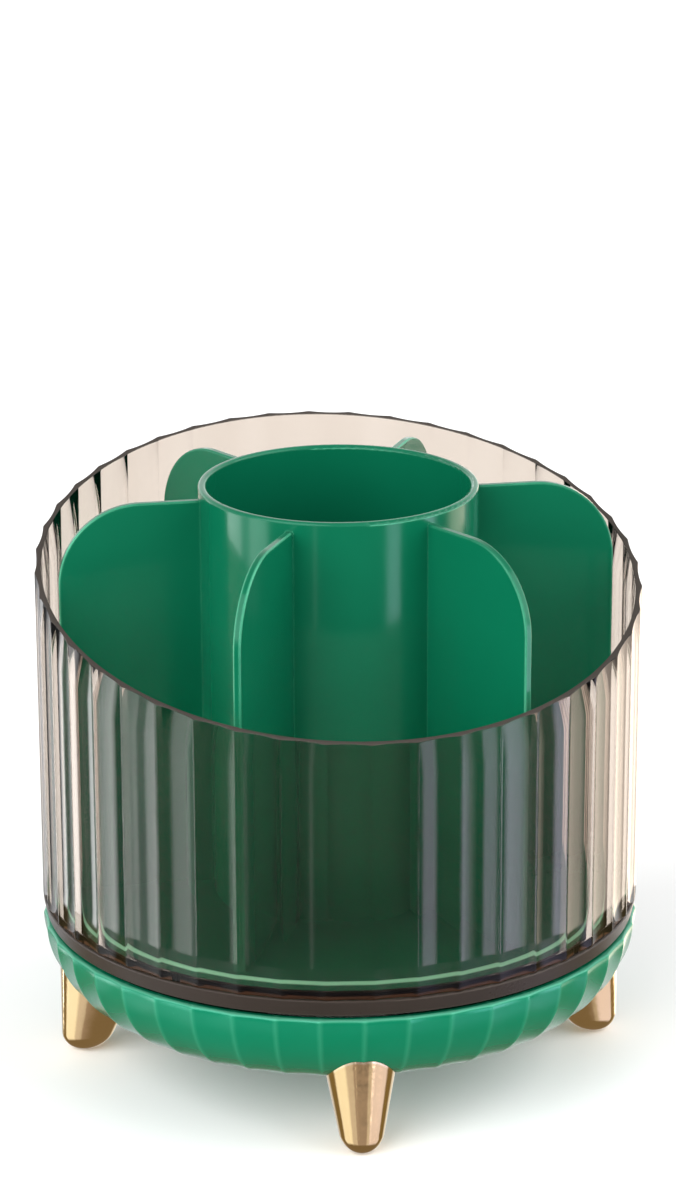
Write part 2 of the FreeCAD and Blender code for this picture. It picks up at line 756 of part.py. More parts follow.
def turntable_plate(doc, s):
    """The dark plate; its rim shows between the base and the shell."""
    body = new_body(doc, "turntable_plate")
    sketch = new_sketch(body, "plate_form", "XZ_Plane")
    inner = s.plate_low_radius - s.plate_skirt
    outline(
        sketch,
        "p",
        [
            (0.0, s.hub_low),
            (s.hub_radius, s.hub_low),
            (s.hub_radius, s.plate_under),
            (inner, s.plate_under),
            (inner, s.plate_rim_low),
            (s.plate_low_radius, s.plate_rim_low),
            (s.plate_top_radius, s.plate_up),
            (0.0, s.plate_up),
        ],
    )
    revolve(body, "plate", sketch)
    doc.recompute()
    spots = [(s.plate_low_radius, s.plate_rim_low), (s.plate_top_radius, s.plate_up)]
    picked = ring_edges(body.Tip.Shape, spots)
    round_edges(body, "band_rounding", picked, s.plate_edge_round)
    # Stiffening ribs between the hub and the bearing.
    sketch = new_sketch(body, "stiffener_form", "XY_Plane", s.plate_under + 0.3, 15.0)
    half = s.stiffener_thickness / 2
    near = s.hub_radius - 1.0
    far = s.race_inner_radius - 1.2
    outline(sketch, "p", [(near, -half), (far, -half), (far, half), (near, half)])
    rib = pad(body, "stiffener", sketch, s.stiffener_height + 0.3, flip=True)
    around(body, "stiffeners", [rib], s.stiffener_count)
    # Hexagon pocket of the nut, and the hole of the thread.
    sketch = new_sketch(body, "nut_form", "XY_Plane", s.plate_up)
    hexagon(sketch, s.nut_flats + 2 * s.nut_fit)
    pocket(body, "nut_pocket", sketch, s.plate_up - s.nut_low)
    sketch = new_sketch(body, "thread_form", "XY_Plane", s.plate_up)
    circle(sketch, "thread", 0.0, 0.0, s.bolt_thread_radius + s.bolt_fit)
    pocket(body, "thread_hole", sketch, s.plate_up - s.hub_low + 1.0)
    # Holes for the bosses of the shell, and blind holes for the race screws.
    sketch = new_sketch(body, "lug_hole_form", "XY_Plane", s.plate_up, 45.0)
    circle(sketch, "hole", s.lug_circle, 0.0, s.lug_radius + s.lug_fit)
    hole = pocket(body, "lug_hole", sketch, s.plate_thickness + 1.0)
    sketch = new_sketch(body, "race_hole_form", "XY_Plane", s.plate_under, 45.0)
    circle(sketch, "pilot", s.race_screw_circle, 0.0, s.race_screw_radius + s.screw_fit)
    depth = s.upper_screw_bite + s.upper_screw_spare
    pilot = pocket(body, "race_hole", sketch, depth, flip=True)
    around(body, "holes", [hole, pilot], as_size(4.0))
    return body


def ring_edges(shape, spots):
    """Names of the round edges with these radii at these heights."""
    picked = []
    for index, edge in enumerate(shape.Edges):
        middle = edge.valueAt((edge.FirstParameter + edge.LastParameter) / 2.0)
        reach = math.hypot(middle.x, middle.y)
        for radius, height in spots:
            if abs(reach - radius.value) < 0.001 and abs(middle.z - height.value) < 0.001:
                if edge.Length > 3.0 * radius.value:
                    picked.append("Edge%d" % (index + 1))
    return picked


def hexagon(sketch, flats):
    flat = flats / 2
    corner = flats * 0.577350
    half = flats * 0.288675
    outline(
        sketch,
        "h",
        [
            (half, -flat),
            (corner, 0.0),
            (half, flat),
            (-half, flat),
            (-corner, 0.0),
            (-half, -flat),
        ],
    )


def pivot_bolt(doc, s):
    """A shoulder bolt from below: head, smooth shoulder and thread."""
    body = new_body(doc, "pivot_bolt")
    low = s.head_up - s.bolt_head_height
    end = s.plate_up - 0.3
    sketch = new_sketch(body, "bolt_form", "XZ_Plane")
    outline(
        sketch,
        "p",
        [
            (0.0, low),
            (s.bolt_head_radius - 0.7, low),
            (s.bolt_head_radius, low + 0.7),
            (s.bolt_head_radius, s.head_up),
            (s.bolt_shoulder_radius, s.head_up),
            (s.bolt_shoulder_radius, s.hub_low),
            (s.bolt_thread_radius, s.hub_low),
            (s.bolt_thread_radius, end - 0.5),
            (s.bolt_thread_radius - 0.5, end),
            (0.0, end),
        ],
    )
    revolve(body, "bolt", sketch)
    sketch = new_sketch(body, "key_form", "XY_Plane", low)
    hexagon(sketch, s.bolt_head_radius * 0.72)
    pocket(body, "key_recess", sketch, s.bolt_head_height * 0.7, flip=True)
    return body


def washer(doc, s, label, low):
    body = new_body(doc, label)
    sketch = new_sketch(body, "washer_form", "XZ_Plane")
    inner = s.bolt_shoulder_radius + s.bolt_fit
    up = low + s.washer_thickness
    outline(
        sketch,
        "p",
        [(inner, low), (s.washer_radius, low), (s.washer_radius, up), (inner, up)],
    )
    revolve(body, "ring", sketch)
    return body


def pivot_nut(doc, s):
    body = new_body(doc, "pivot_nut")
    sketch = new_sketch(body, "nut_form", "XY_Plane", s.nut_low)
    hexagon(sketch, s.nut_flats)
    pad(body, "nut", sketch, s.nut_height)
    sketch = new_sketch(body, "hole_form", "XY_Plane", s.nut_low)
    circle(sketch, "hole", 0.0, 0.0, s.bolt_thread_radius + s.bolt_fit)
    pocket(body, "hole", sketch, s.nut_height + 1.0, flip=True)
    return body


def shell(doc, s):
    """The clear fluted shell with its slanted rim."""
    body = new_body(doc, "shell")
    inner = s.shell_inner_radius
    turn = s.shell_inside_round
    blank_up = s.rim_high + 4.0
    sketch = new_sketch(body, "shell_form", "XZ_Plane")
    outline(
        sketch,
        "p",
        [
            (0.0, s.plate_up),
            (s.shell_radius, s.plate_up),
            (s.shell_radius, blank_up),
            (inner, blank_up),
            (inner, s.floor_up + turn),
            (inner - turn, s.floor_up),
            (0.0, s.floor_up),
        ],
        {4: (turn, -1)},
    )
    revolve(body, "barrel", sketch)
    # A flute, not a crest, is in the middle of the front.
    sketch = new_sketch(body, "flute_form", "XY_Plane", s.plate_up)
    reach = s.shell_radius - s.shell_flute_depth + s.shell_flute_radius
    circle(sketch, "flute", reach, 0.0, s.shell_flute_radius)
    flute = pocket(body, "flute", sketch, blank_up - s.plate_up + 1.0, flip=True)
    around(body, "flutes", [flute], s.flute_count)
    # Everything above the slanted plane goes.
    sketch = new_sketch(body, "rim_form", "YZ_Plane")
    slope = (s.rim_high - s.rim_low) / (2 * s.shell_radius)
    reach = s.shell_radius + 10.0
    middle = (s.rim_high + s.rim_low) / 2
    outline(
        sketch,
        "p",
        [
            (-reach, middle - slope * reach),
            (reach, middle + slope * reach),
            (reach, blank_up + 10.0),
            (-reach, blank_up + 10.0),
        ],
    )
    pocket(body, "rim", sketch, 2 * reach, both=True)
    # Screw bosses under the floor.
    sketch = new_sketch(body, "lug_form", "XY_Plane", s.plate_up + 0.2, 45.0)
    circle(sketch, "lug", s.lug_circle, 0.0, s.lug_radius)
    length = s.plate_thickness - s.lug_short + 0.2
    lug = pad(body, "lug", sketch, length, flip=True)
    around(body, "lugs", [lug], as_size(4.0))
    sketch = new_sketch(body, "pilot_form", "XY_Plane", s.plate_under, 45.0)
    circle(sketch, "pilot", s.lug_circle, 0.0, s.shell_screw_radius + s.screw_fit)
    pilot = pocket(body, "pilot", sketch, s.shell_screw_length + 0.2, flip=True)
    around(body, "pilots", [pilot], as_size(4.0))
    return body


def divider_tray(doc, s):
    """Tray floor, brush cup and dividers in one piece."""
    body = new_body(doc, "divider_tray")
    inner = s.cup_radius - s.cup_wall
    sketch = new_sketch(body, "tray_form", "XZ_Plane")
    edge = s.tray_edge_round
    turn = s.cup_rim_round
    outline(
        sketch,
        "p",
        [
            (0.0, s.tray_low),
            (s.tray_radius, s.tray_low),
            (s.tray_radius, s.tray_up - edge),
            (s.tray_radius - edge, s.tray_up),
            (s.cup_radius, s.tray_up),
            (s.cup_radius, s.cup_top - turn),
            (s.cup_radius - turn, s.cup_top),
            (inner + turn, s.cup_top),
            (inner, s.cup_top - turn),
            (inner, s.tray_up),
            (0.0, s.tray_up),
        ],
        {2: (edge, 1), 5: (turn, 1), 7: (turn, 1)},
    )
    revolve(body, "tray", sketch)
    sketch = new_sketch(body, "divider_form", "XZ_Plane")
    near = s.cup_radius - s.cup_wall / 2
    low = s.tray_up - 0.6
    corner = s.divider_corner
    outline(
        sketch,
        "p",
        [
            (near, low),
            (s.divider_reach, low),
            (s.divider_reach, s.divider_top - corner),
            (s.divider_reach - corner, s.divider_top),
            (near, s.divider_top),
        ],
        {2: (corner, 1)},
    )
    divider = pad(body, "divider", sketch, s.divider_thickness, both=True)
    around(body, "dividers", [divider], s.divider_count)
    doc.recompute()
    picked = divider_edges(body.Tip.Shape, s)
    round_edges(body, "divider_rounding", picked, s.divider_edge_round)
    return body


def divider_edges(shape, s):
    """Names of the long edges along the top, the corner and the outer side."""
    picked = []
    half = s.divider_thickness.value / 2
    for index, edge in enumerate(shape.Edges):
        if edge.Length < 3.0 * half:
            continue
        middle = edge.valueAt((edge.FirstParameter + edge.LastParameter) / 2.0)
        radius = math.hypot(middle.x, middle.y)
        if radius < s.cup_radius.value + 1.0:
            continue
        if middle.z < s.tray_up.value + 1.0:
            continue
        picked.append("Edge%d" % (index + 1))
    return picked


def build():
    os.makedirs("parts", exist_ok=True)
    doc = FreeCAD.newDocument("brush_holder")
    make_sheet(doc, SIZES)
    s = Sizes(SIZES)
    nodes = []
    bowl, flutes = base_bowl(doc, s)
    doc.recompute()
    bowl_form = flutes.Shape.copy()
    bowl.Placement = Placement(
        Vector(0, 0, 0), Rotation(Vector(0, 0, 1), s.base_turn.value)
    )
    bowl.setExpression("Placement.Rotation.Angle", s.base_turn.formula)
    nodes.append(bowl)
    for quarter, label in enumerate(("foot_front", "foot_right", "foot_back", "foot_left")):
        nodes.append(foot(doc, s, label, quarter, bowl_form))
    nodes.append(
        screw_ring(
            doc, s, "foot_screws", s.foot_circle, s.base_inside, s.foot_screw_head,
            s.foot_screw_head_height, s.foot_screw_radius, s.foot_screw_length, True,
            s.base_turn,
        )
    )
    nodes.append(race(doc, s, "lower_race", s.seat_up, True, s.base_turn))
    nodes.append(
        screw_ring(
            doc, s, "lower_race_screws", s.race_screw_circle,
            s.lower_race_up - s.race_screw_head_height - s.sink_spare, s.race_screw_head,
            s.race_screw_head_height, s.race_screw_radius, s.lower_screw_length, True,
            s.base_turn + 45.0,
        )
    )
    nodes.append(ball_cage(doc, s))
    nodes.append(bearing_balls(doc, s))
    nodes.append(race(doc, s, "upper_race", s.upper_race_low, False))
    nodes.append(
        screw_ring(
            doc, s, "upper_race_screws", s.race_screw_circle,
            s.upper_race_low + s.race_screw_head_height + s.sink_spare, s.race_screw_head,
            s.race_screw_head_height, s.race_screw_radius, s.upper_screw_length, False,
            as_size(45.0),
        )
    )
    nodes.append(turntable_plate(doc, s))
    nodes.append(
        screw_ring(
            doc, s, "shell_screws", s.lug_circle, s.plate_under, s.shell_screw_head,
            s.shell_screw_head_height, s.shell_screw_radius, s.shell_screw_length, False,
            as_size(45.0),
        )
    )
    nodes.append(pivot_bolt(doc, s))
    nodes.append(washer(doc, s, "pivot_washer", s.washer_low))
    nodes.append(washer(doc, s, "slip_washer", s.boss_up))
    nodes.append(pivot_nut(doc, s))
    nodes.append(shell(doc, s))
    nodes.append(divider_tray(doc, s))
    doc.recompute()
    for item in doc.Objects:
        if "Invalid" in item.State or "Error" in item.State:
            raise RuntimeError("%s %s" % (item.Label, item.State))
    for item in nodes:
        if item.Shape.isNull() or not item.Shape.isValid():
            raise RuntimeError("bad shape: " + item.Label)
    for item in nodes:
        item.Shape.exportStep("parts/%s.step" % item.Label)
        print(item.Label, len(item.Shape.Solids), round(item.Shape.Volume, 1))


build()
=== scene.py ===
import math

import bpy
import numpy as np
from mathutils import Matrix, Vector


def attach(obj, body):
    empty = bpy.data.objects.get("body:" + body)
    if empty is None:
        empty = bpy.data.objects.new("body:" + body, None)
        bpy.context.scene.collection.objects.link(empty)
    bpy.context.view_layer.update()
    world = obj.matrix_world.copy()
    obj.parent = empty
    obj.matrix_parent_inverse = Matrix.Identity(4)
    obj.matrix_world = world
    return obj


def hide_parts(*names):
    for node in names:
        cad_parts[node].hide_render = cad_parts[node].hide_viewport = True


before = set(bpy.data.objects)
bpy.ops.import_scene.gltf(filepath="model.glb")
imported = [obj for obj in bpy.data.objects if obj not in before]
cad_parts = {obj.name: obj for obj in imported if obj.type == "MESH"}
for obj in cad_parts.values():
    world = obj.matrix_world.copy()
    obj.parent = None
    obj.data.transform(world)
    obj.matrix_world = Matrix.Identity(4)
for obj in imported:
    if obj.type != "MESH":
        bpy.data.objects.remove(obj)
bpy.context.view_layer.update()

# Rotating vanity holder. It stands on z = 0 and turns on the z axis.
# Blender's lengths are in metres. The sizes of the meshes drawn here are in millimetres.
MM = 0.001
FLUTES = 44
PITCH = 2 * math.pi / FLUTES
# Radius of the ridges between the flutes, the same on the shell and the base.
CREST = 75.0
# The shell's slanted rim: its height on the axis, and its rise per millimetre toward +Y.
RIM_MIDDLE = 126.75
RIM_SLOPE = 0.258
# The base stands turned against the shell.
BASE_TURN = math.radians(-5.5)


def srgb(r, g, b):
    """A linear colour from its 8-bit sRGB values."""
    out = []
    for c in (r, g, b):
        c = c / 255.0
        out.append(c / 12.92 if c <= 0.04045 else ((c + 0.055) / 1.055) ** 2.4)
    return (out[0], out[1], out[2], 1.0)


# Node helpers. x and y are the node's place in the editor.

def new_material(name):
    mat = bpy.data.materials.new(name)
    mat.use_nodes = True
    mat.node_tree.nodes.clear()
    out = add(mat.node_tree, "ShaderNodeOutputMaterial", 900, 0)
    return mat, mat.node_tree, out


def add(tree, kind, x, y, **inputs):
    node = tree.nodes.new(kind)
    node.location = (x, y)
    for key, value in inputs.items():
        node.inputs[key.replace("_", " ")].default_value = value
    return node


def principled(tree, **inputs):
    return add(tree, "ShaderNodeBsdfPrincipled", 600, 0, **inputs)


def coords(tree, scale=(1.0, 1.0, 1.0)):
    """Object coordinates, stretched by scale."""
    where = add(tree, "ShaderNodeTexCoord", -1400, 0)
    mapping = add(tree, "ShaderNodeMapping", -1200, 0, Scale=scale)
    tree.links.new(where.outputs["Object"], mapping.inputs["Vector"])
    return mapping.outputs["Vector"]


def noise(tree, vector, scale, detail, x, y, roughness=0.5):
    node = add(tree, "ShaderNodeTexNoise", x, y, Scale=scale, Detail=detail, Roughness=roughness)
    tree.links.new(vector, node.inputs["Vector"])
    return node.outputs["Fac"]


def spread(tree, value, low, high, to_low, to_high, x, y, clamp=True):
    """Map the range low to high onto to_low to to_high."""
    node = add(tree, "ShaderNodeMapRange", x, y,
               From_Min=low, From_Max=high, To_Min=to_low, To_Max=to_high)
    node.clamp = clamp
    tree.links.new(value, node.inputs["Value"])
    return node.outputs["Result"]


def calculate(tree, operation, first, second, x, y):
    """A Math node. The first value is a socket, the second a socket or a number."""
    node = add(tree, "ShaderNodeMath", x, y)
    node.operation = operation
    tree.links.new(first, node.inputs[0])
    if isinstance(second, float):
        node.inputs[1].default_value = second
    else:
        tree.links.new(second, node.inputs[1])
    return node.outputs[0]


def product(tree, first, second, x, y):
    return calculate(tree, "MULTIPLY", first, second, x, y)


def split(tree, vector, x, y):
    node = add(tree, "ShaderNodeSeparateXYZ", x, y)
    tree.links.new(vector, node.inputs[0])
    return node.outputs


def blend_colours(tree, factor, first, second, x, y):
    node = add(tree, "ShaderNodeMix", x, y)
    node.data_type = "RGBA"
    tree.links.new(factor, node.inputs["Factor"])
    for socket, item in (("A", first), ("B", second)):
        target = [i for i in node.inputs if i.name == socket and i.type == "RGBA"][0]
        if isinstance(item, tuple):
            target.default_value = item
        else:
            tree.links.new(item, target)
    return [o for o in node.outputs if o.type == "RGBA"][0]


def mix_shaders(tree, factor, first, second, x, y):
    node = add(tree, "ShaderNodeMixShader", x, y)
    tree.links.new(factor, node.inputs[0])
    tree.links.new(first.outputs[0], node.inputs[1])
    tree.links.new(second.outputs[0], node.inputs[2])
    return node


def bump(tree, height, strength, distance, x, y, under=None):
    node = add(tree, "ShaderNodeBump", x, y, Strength=strength, Distance=distance)
    tree.links.new(height, node.inputs["Height"])
    if under is not None:
        tree.links.new(under, node.inputs["Normal"])
    return node.outputs["Normal"]


def edges(tree, radius, x, y):
    """1 along outer edges, 0 on plain faces: how far a bevel of this radius turns the surface."""
    turned_most, turned_least = 0.90, 0.99
    hemmed_in, free = 0.80, 0.95
    bevel = add(tree, "ShaderNodeBevel", x - 400, y, Radius=radius)
    bevel.samples = 4
    plain = add(tree, "ShaderNodeNewGeometry", x - 400, y - 160)
    dot = add(tree, "ShaderNodeVectorMath", x - 200, y)
    dot.operation = "DOT_PRODUCT"
    tree.links.new(bevel.outputs[0], dot.inputs[0])
    tree.links.new(plain.outputs["Normal"], dot.inputs[1])
    turned = spread(tree, dot.outputs["Value"], turned_least, turned_most, 0.0, 1.0, x, y)
    # Inside corners are left out: there the surface is hemmed in.
    room = add(tree, "ShaderNodeAmbientOcclusion", x - 200, y - 200, Distance=2.5 * radius)
    room.samples = 3
    outside = spread(tree, room.outputs["AO"], hemmed_in, free, 0.0, 1.0, x, y - 200)
    return product(tree, turned, outside, x + 150, y)


# Materials

def painted_highlight_ring(tree, vector, colour, radius, height, most):
    """A painted highlight line around the part, where both the radius and the height are above
    these.
    """
    fade = 0.3 * MM
    flat = add(tree, "ShaderNodeVectorMath", -1000, 1500)
    flat.operation = "MULTIPLY"
    flat.inputs[1].default_value = (1.0, 1.0, 0.0)
    tree.links.new(vector, flat.inputs[0])
    size = add(tree, "ShaderNodeVectorMath", -800, 1500)
    size.operation = "LENGTH"
    tree.links.new(flat.outputs[0], size.inputs[0])
    outer = spread(tree, size.outputs["Value"], radius, radius + fade, 0.0, most, -600, 1500)
    z = split(tree, vector, -1000, 1100)["Z"]
    upper = spread(tree, z, height, height + fade, 0.0, 1.0, -600, 1100)
    highlight_line = product(tree, outer, upper, -400, 1300)
    return blend_colours(tree, highlight_line, colour, srgb(165, 252, 220), -150, 300)


def painted_ridge_highlights(tree, vector, colour, highlight_colour, first):
    """A faint painted highlight along each ridge between two flutes, from the ridge at this angle
    on.
    """
    core, reach, most = 0.008, 0.09, 0.08
    parts = split(tree, vector, -1000, 1100)
    angle = calculate(tree, "ARCTAN2", parts["Y"], parts["X"], -800, 1100)
    turns = spread(tree, angle, first, first + PITCH, 0.0, 1.0, -600, 1100, clamp=False)
    away = calculate(tree, "PINGPONG", turns, 0.5, -400, 1100)
    crest = spread(tree, away, core, reach, most, 0.0, -200, 1100)
    return blend_colours(tree, crest, colour, highlight_colour, -150, 300)


def moulded_plastic(name, deep, main, highlight_colour, rough, coat, tint=(1.0, 1.0, 1.0, 1.0),
                    highlight_strength=(0.3, 0.7), highlight_line=None, ridge_highlight_from=None):
    """Glossy moulded plastic: faint flow marks, a fine ripple, and a painted highlight on edges.

    tint colours the shine, highlight_strength is the least and most that the painted edge
    highlight lightens edges, highlight_line is the radius, height and strength of a painted
    highlight line around the part, and ridge_highlight_from the angle of a fluted ridge from
    which painted ridge highlights start.
    height and strength of a pale line around the part, and ridge the angle of a fluted ridge.
    """
    mat, tree, out = new_material(name)
    shader = principled(tree, IOR=1.5, Specular_Tint=tint, Coat_Weight=coat, Coat_Roughness=0.05)
    vector = coords(tree)
    flow = spread(tree, noise(tree, vector, 26.0, 3.0, -1000, 300, 0.55),
                  0.3, 0.7, 0.0, 1.0, -800, 300)
    tone = blend_colours(tree, flow, deep, main, -600, 300)
    patchy = spread(tree, noise(tree, vector, 90.0, 4.0, -1000, 800),
                    0.35, 0.65, highlight_strength[0], highlight_strength[1], -800, 800)
    # Painted highlight: outer edges are lightened toward the highlight colour, standing in for the
    # light that rounded edges catch. Patchy noise varies its strength.
    painted_edge_highlight = product(tree, edges(tree, 0.6 * MM, -800, 560), patchy, -600, 600)
    colour = blend_colours(tree, painted_edge_highlight, tone, highlight_colour, -350, 300)
    # Painted highlights: a pale line around the part, and pale lines along the fluted ridges.
    if highlight_line is not None:
        colour = painted_highlight_ring(tree, vector, colour, *highlight_line)
    if ridge_highlight_from is not None:
        colour = painted_ridge_highlights(tree, vector, colour, highlight_colour, ridge_highlight_from)
    tree.links.new(colour, shader.inputs["Base Color"])
    fine = noise(tree, vector, 700.0, 5.0, -1000, 0, 0.6)
    smear = noise(tree, vector, 34.0, 4.0, -1000, -200, 0.6)
    marks = product(tree, spread(tree, fine, 0.3, 0.7, 0.9, 1.1, -800, 0),
                    spread(tree, smear, 0.3, 0.75, rough * 0.8, rough * 1.35, -800, -200),
                    -600, -100)
    tree.links.new(marks, shader.inputs["Roughness"])
    ripple = noise(tree, vector, 240.0, 2.0, -1000, -450)
    skin = bump(tree, ripple, 0.06, 0.2 * MM, -600, -400)
    skin = bump(tree, fine, 0.03, 0.05 * MM, -350, -400, skin)
    tree.links.new(skin, shader.inputs["Normal"])
    tree.links.new(shader.outputs[0], out.inputs["Surface"])
    return mat


def plated_gold(name):
    """Champagne gold plating over smooth moulded plastic."""
    mat, tree, out = new_material(name)
    shader = principled(tree, Metallic=1.0)
    vector = coords(tree)
    cloud = spread(tree, noise(tree, vector, 40.0, 3.0, -1000, 300),
                   0.3, 0.7, 0.0, 1.0, -800, 300)
    tone = blend_colours(tree, cloud, srgb(216, 188, 138), srgb(228, 202, 154), -600, 300)
    # Painted highlight: outer edges are lightened toward a paler gold, standing in for the light
    # that rounded edges catch.
    painted_edge_highlight = edges(tree, 0.8 * MM, -800, 560)
    colour = blend_colours(tree, painted_edge_highlight, tone, srgb(250, 236, 204), -350, 300)
    tree.links.new(colour, shader.inputs["Base Color"])
    fine = noise(tree, vector, 900.0, 5.0, -1000, 0, 0.6)
    rough = spread(tree, fine, 0.3, 0.7, 0.06, 0.12, -800, 0)
    tree.links.new(rough, shader.inputs["Roughness"])
    ripple = noise(tree, vector, 160.0, 2.0, -1000, -450)
    skin = bump(tree, ripple, 0.15, 0.3 * MM, -600, -400)
    skin = bump(tree, fine, 0.04, 0.05 * MM, -350, -400, skin)
    tree.links.new(skin, shader.inputs["Normal"])
    tree.links.new(shader.outputs[0], out.inputs["Surface"])
    return mat


def plain_metal(name, dark, light, rough):
    """Zinc-plated or polished steel with a fine grain."""
    mat, tree, out = new_material(name)
    shader = principled(tree, Metallic=1.0)
    vector = coords(tree)
    cloud = noise(tree, vector, 220.0, 4.0, -1000, 300)
    tree.links.new(blend_colours(tree, cloud, dark, light, -600, 300), shader.inputs["Base Color"])
    fine = noise(tree, vector, 2200.0, 4.0, -1000, 0)
    grain = spread(tree, fine, 0.3, 0.7, rough * 0.7, rough * 1.4, -800, 0)
    tree.links.new(grain, shader.inputs["Roughness"])
    skin = bump(tree, fine, 0.08, 0.04 * MM, -350, -400)
    tree.links.new(skin, shader.inputs["Normal"])
    tree.links.new(shader.outputs[0], out.inputs["Surface"])
    return mat


def rim_top(tree):
    """How much of the painted dark matt colour the surface gets: most on the narrow top face of
    the shell's rim, 0 elsewhere.
    """
    below_rim, most = 95.0 * MM, 0.85
    # Both are the object's own, so the mask holds wherever the part is placed.
    own = add(tree, "ShaderNodeTexCoord", -1000, -800)
    upright = split(tree, own.outputs["Normal"], -800, -700)["Z"]
    height = split(tree, own.outputs["Object"], -800, -900)["Z"]
    level = spread(tree, upright, 0.2, 0.6, 0.0, most, -600, -700)
    high = spread(tree, height, below_rim, below_rim + 5.0 * MM, 0.0, 1.0, -600, -900)
    return product(tree, level, high, -400, -800)


def smoked_clear(name):
    """Clear plastic with a light smoke tint; lamps shine through it."""
    mat, tree, out = new_material(name)
    # With a full shine the inner face would mirror the floor, as a milky veil over the front.
    shine = 0.35
    shader = principled(tree, IOR=1.49, Specular_Tint=(shine, shine, shine, 1.0),
                        Transmission_Weight=1.0)
    vector = coords(tree, (1.0, 1.0, 0.12))
    flow = spread(tree, noise(tree, vector, 60.0, 3.0, -1000, 300),
                  0.3, 0.7, 0.0, 1.0, -800, 300)
    tone = blend_colours(tree, flow, srgb(205, 193, 182), srgb(212, 201, 191), -600, 300)
    tree.links.new(tone, shader.inputs["Base Color"])
    smear = noise(tree, vector, 130.0, 4.0, -1000, 0, 0.6)
    rough = spread(tree, smear, 0.35, 0.75, 0.004, 0.02, -800, 0)
    tree.links.new(rough, shader.inputs["Roughness"])
    skin = bump(tree, noise(tree, vector, 190.0, 2.0, -1000, -450), 0.03, 0.2 * MM, -600, -400)
    tree.links.new(skin, shader.inputs["Normal"])
    # The top face of the rim is painted a dark matt colour: a painted shade line standing in for
    # the look of the clear rim. As clear plastic it would look black, because the light runs down
    # inside the wall there.
    painted_rim_line = add(tree, "ShaderNodeBsdfDiffuse", 300, -550, Color=(0.060, 0.051, 0.045, 1.0))
    topped = mix_shaders(tree, rim_top(tree), shader, painted_rim_line, 650, -200)
    clear = add(tree, "ShaderNodeBsdfTransparent", 300, -350, Color=(0.55, 0.55, 0.54, 1.0))
    path = add(tree, "ShaderNodeLightPath", 300, 350)
    lit = mix_shaders(tree, path.outputs["Is Shadow Ray"], topped, clear, 750, 0)
    tree.links.new(lit.outputs[0], out.inputs["Surface"])
    smoke = add(tree, "ShaderNodeVolumeAbsorption", 600, -300,
                Color=(0.60, 0.50, 0.42, 1.0), Density=50.0)
    tree.links.new(smoke.outputs[0], out.inputs["Volume"])
    return mat


# Mesh helpers, in millimetres and radians

def piece(name, verts, faces, material, sharp):
    """A mesh object from points in millimetres; edges over sharp degrees stay sharp."""
    mesh = bpy.data.meshes.new(name)
    mesh.from_pydata([tuple(v) for v in (np.asarray(verts) * MM)], [], faces)
    mesh.validate()
    mesh.update()
    mesh.polygons.foreach_set("use_smooth", [True] * len(mesh.polygons))
    mesh.set_sharp_from_angle(angle=math.radians(sharp))
    obj = bpy.data.objects.new(name, mesh)
    bpy.context.scene.collection.objects.link(obj)
    mesh.materials.append(material)
    return obj


def skin_faces(rows, columns, first, closed_rows=False):
    """Quads between neighbouring rings of points."""
    faces = []
    last = rows if closed_rows else rows - 1
    for i in range(last):
        a = first + i * columns
        b = first + ((i + 1) % rows) * columns
        for j in range(columns):
            k = (j + 1) % columns
            faces.append((a + j, a + k, b + k, b + j))
    return faces


def close_fan(verts, faces, ring_start, columns, z, flip):
    """Close a ring of points with triangles around a middle point."""
    centre = len(verts)
    verts.append((0.0, 0.0, z))
    for j in range(columns):
        k = (j + 1) % columns
        a, b = ring_start + j, ring_start + k
        faces.append((centre, b, a) if flip else (centre, a, b))


def points_on(radius, z, angles):
    """A ring of points; the radius and the height may change along it."""
    radius = np.broadcast_to(radius, angles.shape)
    z = np.broadcast_to(z, angles.shape)
    return np.stack([radius * np.cos(angles), radius * np.sin(angles), z], 1)


def flute_angles(steps, first):
    """Angles around the part, and each one's offset from the middle of its flute.

    steps are shares of half a flute, closer together at the ridge. first is the place of the
    first flute, in flutes.
    """
    half = [0.0] + steps
    offsets = [-v for v in reversed(half[1:])] + half[:-1]
    angles = []
    local = []
    for k in range(FLUTES):
        for v in offsets:
            local.append(v * PITCH / 2)
            angles.append((k + first) * PITCH + v * PITCH / 2)
    return np.array(angles), np.array(local)


def rounded_crest(radius, local, crest, lean, fillet):
    """Round the ridge between two hollows: fillet is its radius, lean the slope of the flanks."""
    away = (PITCH / 2 - np.abs(local)) * crest
    top = crest - fillet * (1 / math.cos(lean) - 1)
    reach = fillet * math.sin(lean)
    inside = np.clip(away, 0.0, reach)
    arc = top - fillet + np.sqrt(fillet * fillet - inside * inside)
    return np.where(away < reach, arc, radius)


def quarter_turn(degrees, size):
    """At this angle of a rounded edge: how far in from its start, and how far short of its end."""
    a = math.radians(degrees)
    return size * (1 - math.cos(a)), size * (1 - math.sin(a))


# The clear shell: fluted outside, plain inside, rounded edges on the slanted rim.

def rim_height(radius, angles):
    return RIM_MIDDLE + RIM_SLOPE * radius * np.sin(angles)


